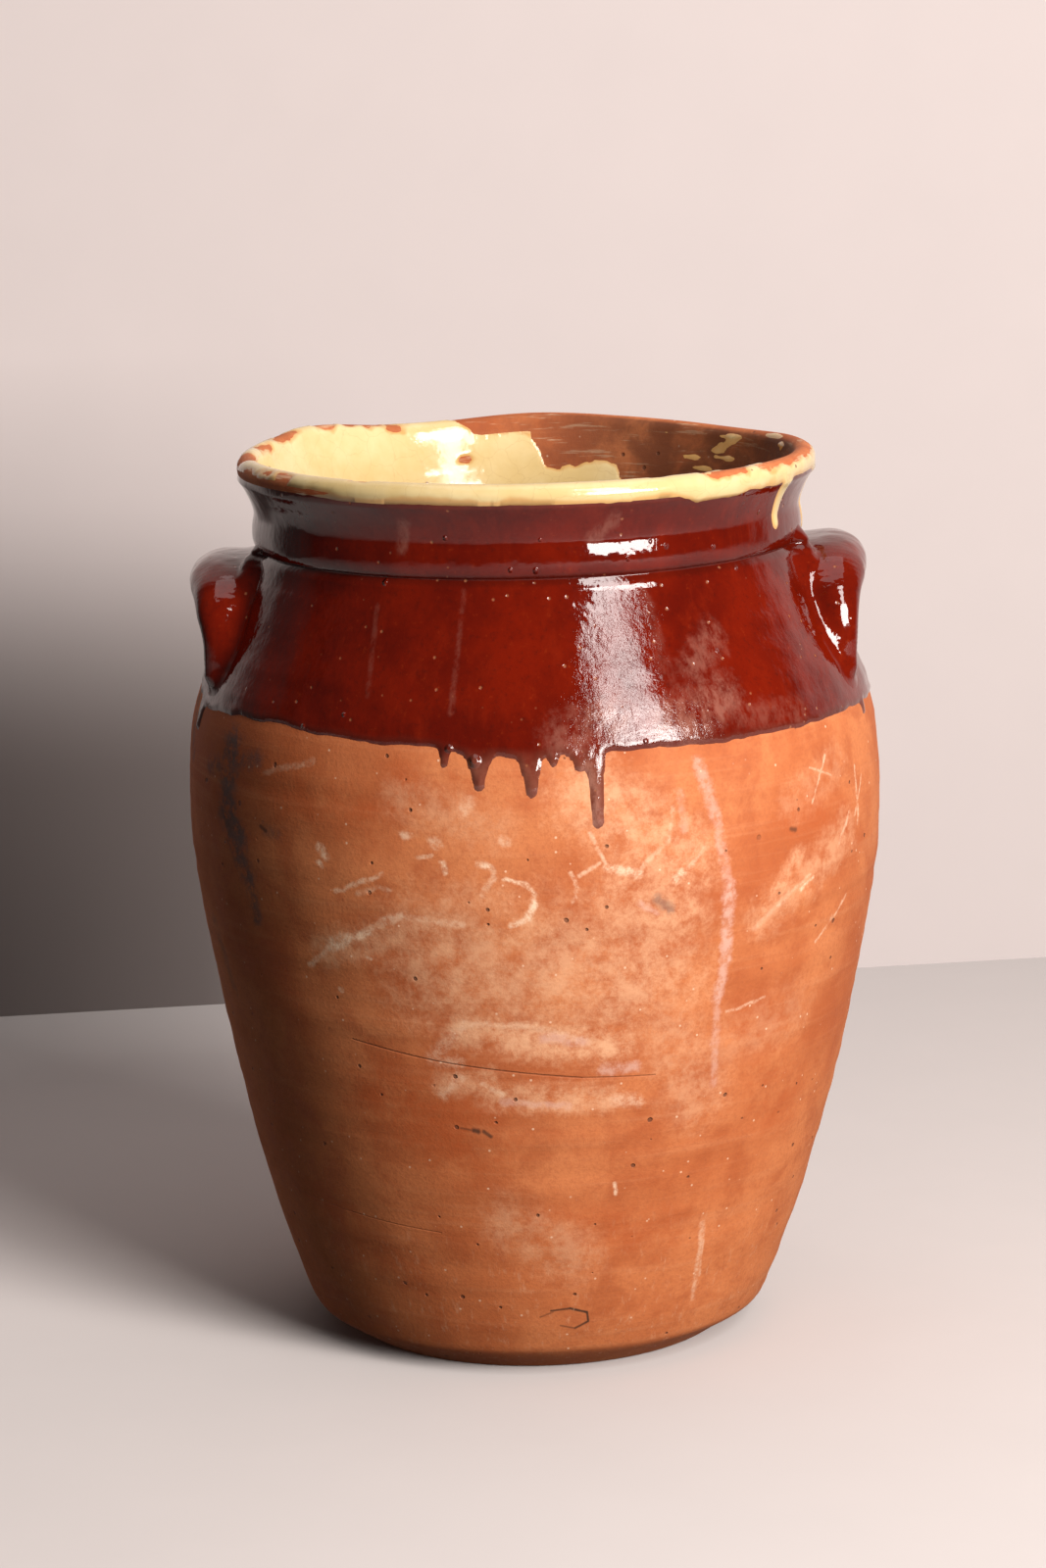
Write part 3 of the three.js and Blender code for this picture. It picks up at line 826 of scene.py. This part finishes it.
def cream_rim():
    collar = collar_outline(0.9)
    outside = collar[collar[:, 1] > CREAM_START_Z]
    lip = lip_outline()
    inside = inside_outline(0.95, 4)
    outline = np.vstack([outside, lip, inside[inside[:, 1] > CREAM_RIM_Z]])
    depth = run_along(outline, len(outside) + LIP_POINTS // 2)
    bearings = full_turn(COLUMNS_COAT)
    field = cream_field(bearings, outline, depth)
    over_brown = np.vstack([outside, lip[:1]])
    base = np.zeros(field.shape)
    base[:, :len(over_brown)] = np.clip(brown_thickness(bearings, over_brown)[1], 0, None)
    thickness = rise(field, CREAM_COAT, 0.08)
    return coat_sheet("cream_glaze_rim", bearings, outline, field, thickness, base, cream)


def cream_deep():
    inside = inside_outline(2, 4)
    deep = np.vstack([inside[inside[:, 1] < CREAM_DEEP_Z], FLOOR_RINGS[:-1], [(1.0, FLOOR)]])
    bearings = full_turn(COLUMNS_DEEP)
    field = cream_field(bearings, deep, CREAM_DEEP_START + run_along(deep, 0))
    tuck = -0.25 * smooth_step(240.5, 243, deep[None, :, 1])
    thickness = rise(field, CREAM_COAT, 0) + tuck
    return coat_sheet("cream_glaze_inside", bearings, deep, field, thickness, 0, cream)


# ---- the lugs

LUG_FOOT_Z, LUG_CROWN_Z = 231, 262.6
LUG_FOOT_BEARING = 18
LUG_FOOT_RADIUS, LUG_CROWN_RADIUS = 109.2, 102.9
LUG_FOOT_DEPTH, LUG_CROWN_DEPTH = 4.2, 11.0
LUG_FLATNESS = 0.78
LUG_SQUARENESS = 3
LUG_CELL = 0.85
LUG_SKIRT = 11  # how far the clay smeared from the roll onto the shoulder reaches
LUG_SMEAR = 5.5  # softness of the join
LUG_MIDDLE_Z = 247.5
LUG_BOX_LOW = np.array([82.0, -50.0, 208.0])
LUG_BOX_SIZE = np.array([36.0, 100.0, 74.0])
FOLD = [(93.5, 13, 270.5), (97, 15, 264), (100.5, 16.5, 257)]  # radius, degrees off, height
FOLD_THICKNESS = 2.1


def lug_roll(points):
    """Distance outside the right lug's bent roll, about in mm."""
    share = np.linspace(0, 1, 600)
    power = 2 / LUG_SQUARENESS
    climb = np.abs(np.sin(np.pi * share)) ** power
    swing = -np.sign(np.cos(np.pi * share)) * np.abs(np.cos(np.pi * share)) ** power
    turn = np.radians(90 + LUG_FOOT_BEARING * swing)
    radius = LUG_FOOT_RADIUS + (LUG_CROWN_RADIUS - LUG_FOOT_RADIUS) * climb
    height = LUG_FOOT_Z + (LUG_CROWN_Z - LUG_FOOT_Z) * climb
    line = turned(radius, turn, height)
    run = run_along(line, 0)
    even = np.linspace(0, run[-1], 64)
    centre = np.stack([np.interp(even, run, line[:, i]) for i in range(3)], axis=1)
    depth = LUG_FOOT_DEPTH + (LUG_CROWN_DEPTH - LUG_FOOT_DEPTH) * np.interp(even, run, climb)
    along = unit(np.gradient(centre, axis=0))
    out = unit(centre * [1, 1, 0])
    across = np.cross(out, along)
    nearest = np.full(points.shape[:-1], 99.0)
    for c, d, o, s, a in zip(centre, depth, out, across, along):
        away, flat = points - c, d * LUG_FLATNESS
        oval = np.sqrt((away @ o / d) ** 2 + (away @ s / flat) ** 2 + (away @ a / flat) ** 2)
        nearest = np.minimum(nearest, (oval - 1) * flat)
    folds = [turned(radius, np.radians(90 - aside), z) for radius, aside, z in FOLD]
    for a, b in zip(folds, folds[1:]):
        share = np.clip((points - a) @ (b - a) / ((b - a) @ (b - a)), 0, 1)
        fold = np.linalg.norm(points - a - share[..., None] * (b - a), axis=-1) - FOLD_THICKNESS
        nearest = -smooth_max(-nearest, -fold, 1.6)
    return nearest


def shoulder_field(points):
    """Distance outside the glazed shoulder, about in mm."""
    outline = np.vstack([outside_outline(2), collar_outline(1.2)])
    outline = outline[outline[:, 1] > 150]
    x, y, z = np.moveaxis(points, -1, 0)
    radius = np.interp(z, outline[:, 1], outline[:, 0])
    slope = np.interp(z, outline[:, 1], np.gradient(outline[:, 0], outline[:, 1]))
    reach = np.hypot(x, y)
    on_skin = np.stack([x / reach * radius, y / reach * radius, z], axis=-1)
    return (reach - radius) / np.sqrt(1 + slope**2) - relief(on_skin) - BROWN_COAT


def lug_field(points, side, squeeze):
    """Negative inside the lug with the clay that was smeared from it onto the shoulder."""
    middle = np.array([0, 0, LUG_MIDDLE_Z])
    mirrored = (points - middle) * [side, 1, squeeze] + middle
    pinch = 0.45 * noise(points, 11, 41) + 0.2 * noise(points, 4.5, 42)
    roll = lug_roll(mirrored) - 0.25 + pinch * 0.8
    skin = shoulder_field(points)
    near_neck = smooth_step(267.5, 269.5, points[..., 2])
    sunk = skin + 0.9 * smooth_step(LUG_SKIRT * 0.35, LUG_SKIRT * 0.85, roll) + 1.2 * near_neck
    smear = LUG_SMEAR * (1 + 0.9 * smooth_step(254, 264, points[..., 2]))
    joined = -smooth_max(-roll, -sunk, smear)
    return np.maximum(np.maximum(joined, roll - LUG_SKIRT), -(skin + 3))


def edge_ends(grid, axis):
    """A grid's values at the low and the high end of each of its edges along an axis."""
    count = grid.shape[axis]
    return np.take(grid, range(count - 1), axis), np.take(grid, range(1, count), axis)


def surface_net(field, low, cell):
    """Points and quads of the surface where a grid of values crosses zero."""
    size = np.array(field.shape)
    cells = size - 1
    total, count = np.zeros((*cells, 3)), np.zeros(cells)
    grid = np.stack(np.meshgrid(*[np.arange(n) for n in size], indexing="ij"), axis=-1)
    steps = np.eye(3, dtype=int)
    for axis in range(3):
        a, b = edge_ends(field, axis)
        crossed = (a < 0) != (b < 0)
        share = np.where(crossed, a / np.where(crossed, a - b, 1), 0)
        start = edge_ends(grid, axis)[0]
        where = (start + share[..., None] * steps[axis]) * crossed[..., None]
        for corner in np.ndindex(2, 2):
            shift = np.insert(corner, axis, 0)
            cut = tuple(slice(s, s + n) for s, n in zip(shift, cells))
            total += where[cut]
            count += crossed[cut]
    used = count > 0
    number = np.cumsum(used.ravel()).reshape(cells) - 1
    points = low + cell * total[used] / count[used][:, None]
    quads = []
    for axis in range(3):
        u, v = steps[(axis + 1) % 3], steps[(axis + 2) % 3]
        a, b = edge_ends(field < 0, axis)
        at = np.argwhere(a != b)
        at = at[np.all((at - u - v >= 0) & (at < cells), axis=1)]
        ring = np.stack([number[tuple((at - shift).T)] for shift in (u + v, v, 0 * u, u)], axis=1)
        outward = a[tuple(at.T)]
        quads.append(np.where(outward[:, None], ring, ring[:, ::-1]))
    return points, np.vstack(quads)


def lug(name, side, squeeze):
    """A lug with its smeared join, meshed and then drawn onto the true surface in two steps."""
    shape = np.ceil(LUG_BOX_SIZE / LUG_CELL).astype(int)
    grid = np.stack(np.meshgrid(*map(np.arange, shape), indexing="ij"), axis=-1)
    grid = LUG_BOX_LOW + LUG_CELL * grid
    mirror = np.array([side, 1, 1])
    field = lug_field(grid * mirror, side, squeeze)
    points, quads = surface_net(field, LUG_BOX_LOW, LUG_CELL)
    points = points * mirror
    quads = quads if side > 0 else quads[:, ::-1]
    probe = 0.15
    for _ in range(2):
        value = lug_field(points, side, squeeze)
        slope = np.stack([lug_field(points + probe * axis, side, squeeze) - value
                          for axis in np.eye(3)], axis=1) / probe
        step = value[:, None] * slope / np.maximum((slope**2).sum(axis=1), 0.2)[:, None]
        points = points - np.clip(step, -0.5 * LUG_CELL, 0.5 * LUG_CELL)
    edge = np.full(len(points), CLEAR)
    return make_piece(name, sag(points), quads.tolist(), brown, {"edge": edge})


# ---- the studio

# In metres and degrees
STAGE_HALF = 3.2
WALL_BEHIND = 0.46
WALL_HEIGHT = 2.4
WALL_TURN = -8.0
LIGHTS_AIM = (0, 0, 0.2)
LIGHTS_DISTANCE = 1.5
CAMERA_AIM = (-0.0017, 0, 0.1867)
CAMERA_DISTANCE = 1.5026
CAMERA_ELEVATION = 11.45
CAMERA_ROLL = -1.3
CAMERA_LENS = 101


def stage_material(name, colour, one_sided=False):
    """A matt surface. The one-sided one is the backdrop, with a painted shadow at its lower left and
    painted shade at its far left.
    """
    g = Graph(name)
    place = g.place()
    across = g.vector("DOT_PRODUCT", place, (1, 0, 0))
    shade = g.mix(g.noise(place, 40, 4), colour, tuple(0.965 * c for c in colour))
    if one_sided:
        # painted shade: the backdrop darkens to near black beyond its left part
        shade = g.mix(g.step(across, -450, -850, 0, 0.9), shade, (0.05, 0.045, 0.045))
        # painted shadow: the jar's shadow darkened into the backdrop at its lower left
        up = g.vector("DOT_PRODUCT", place, (0, 0, 1))
        painted_shadow = g.times(g.step(across, -60, -150), g.step(up, 235, 100, 0, 0.75))
        painted_shadow = g.times(painted_shadow, g.step(across, -560, -330))
        shade = g.mix(painted_shadow, shade, (0.09, 0.06, 0.05))
    matt = g.add("BsdfDiffuse", Color=shade, Roughness=0.6)
    if one_sided:
        behind = g.add("NewGeometry", 6)
        matt = g.add("MixShader", in0=behind, in1=matt, in2=g.add("BsdfTransparent"))
    return g.output(matt)


def stage_plane(name, corners, material):
    """A flat sheet of the stage, with its corners in metres."""
    mesh = bpy.data.meshes.new(name)
    mesh.from_pydata(corners, [], [(0, 1, 2, 3)])
    mesh.materials.append(material)
    plane = new_object(name, mesh)
    return plane


def make_stage():
    s = STAGE_HALF
    floor = stage_material("pale floor", (0.54, 0.495, 0.48))
    ground = stage_plane("floor", [(-s, -s, 0), (s, -s, 0), (s, s, 0), (-s, s, 0)], floor)
    ground.visible_diffuse = False
    wall = stage_material("pale backdrop", (0.78, 0.70, 0.68), one_sided=True)
    turn = math.radians(WALL_TURN)
    along = Vector((math.cos(turn), -math.sin(turn), 0)) * s
    middle = Vector((0, WALL_BEHIND, 0))
    up = Vector((0, 0, WALL_HEIGHT))
    corners = [middle - along, middle + along, middle + along + up, middle - along + up]
    backdrop = stage_plane("backdrop", [tuple(c) for c in corners], wall)
    backdrop.visible_shadow = False


def stand(thing, aim, azimuth, elevation, distance, roll=0):
    """Put a lamp or the camera so that it faces its aim. Azimuth 0 is the front, 90 the right."""
    a, e = math.radians(azimuth), math.radians(elevation)
    away = Vector((math.sin(a) * math.cos(e), -math.cos(a) * math.cos(e), math.sin(e)))
    thing.location = Vector(aim) + away * distance
    thing.rotation_mode = "QUATERNION"
    facing = (-away).to_track_quat("-Z", "Y")
    thing.rotation_quaternion = facing @ Quaternion((0, 0, 1), math.radians(roll))


def soft_light(name, azimuth, elevation, size, power, colour):
    data = bpy.data.lights.new(name, "AREA")
    data.shape, data.size, data.size_y = "RECTANGLE", *size
    data.energy, data.color = power, colour
    stand(new_object(name, data), LIGHTS_AIM, azimuth, elevation, LIGHTS_DISTANCE)


def make_lights():
    soft_light("key soft box", 37, 15, (0.72, 0.52), 29, (1, 0.955, 0.92))
    soft_light("upper box", 34.5, 38, (0.34, 0.7), 11, (1, 0.96, 0.93))
    soft_light("overhead", 90, 86, (1.2, 1.2), 6.5, (1, 0.96, 0.95))
    world = bpy.data.worlds.new("dim room")
    world.use_nodes = True
    colour, strength = world.node_tree.nodes["Background"].inputs[:2]
    colour.default_value = (0.9, 0.86, 0.88, 1)
    strength.default_value = 0.045
    bpy.context.scene.world = world
    bpy.context.scene.view_settings.view_transform = "Standard"


def make_camera():
    data = bpy.data.cameras.new("camera")
    data.lens, data.sensor_width = CAMERA_LENS, 36
    data.clip_start, data.clip_end = 0.05, 20
    camera = new_object("camera", data)
    stand(camera, CAMERA_AIM, 0, CAMERA_ELEVATION, CAMERA_DISTANCE, CAMERA_ROLL)
    bpy.context.scene.camera = camera


# ---- the jar, assembled

make_camera()
make_stage()
make_lights()

pieces = [
    (clay_body(), "bare_terracotta", "jar_body"),
    (brown_coat(), "brown_glaze", "brown_glaze_coat"),
    (lug("glazed_right_lug", 1, 1.0), "brown_glaze", "right_lug"),
    (lug("glazed_left_lug", -1, 1.1), "brown_glaze", "left_lug"),
    (cream_rim(), "cream_glaze", "cream_glaze_lining"),
    (cream_deep(), "cream_glaze", "cream_glaze_lining"),
]
for piece, slot, node in pieces:
    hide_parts(node)
    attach(piece, "root")
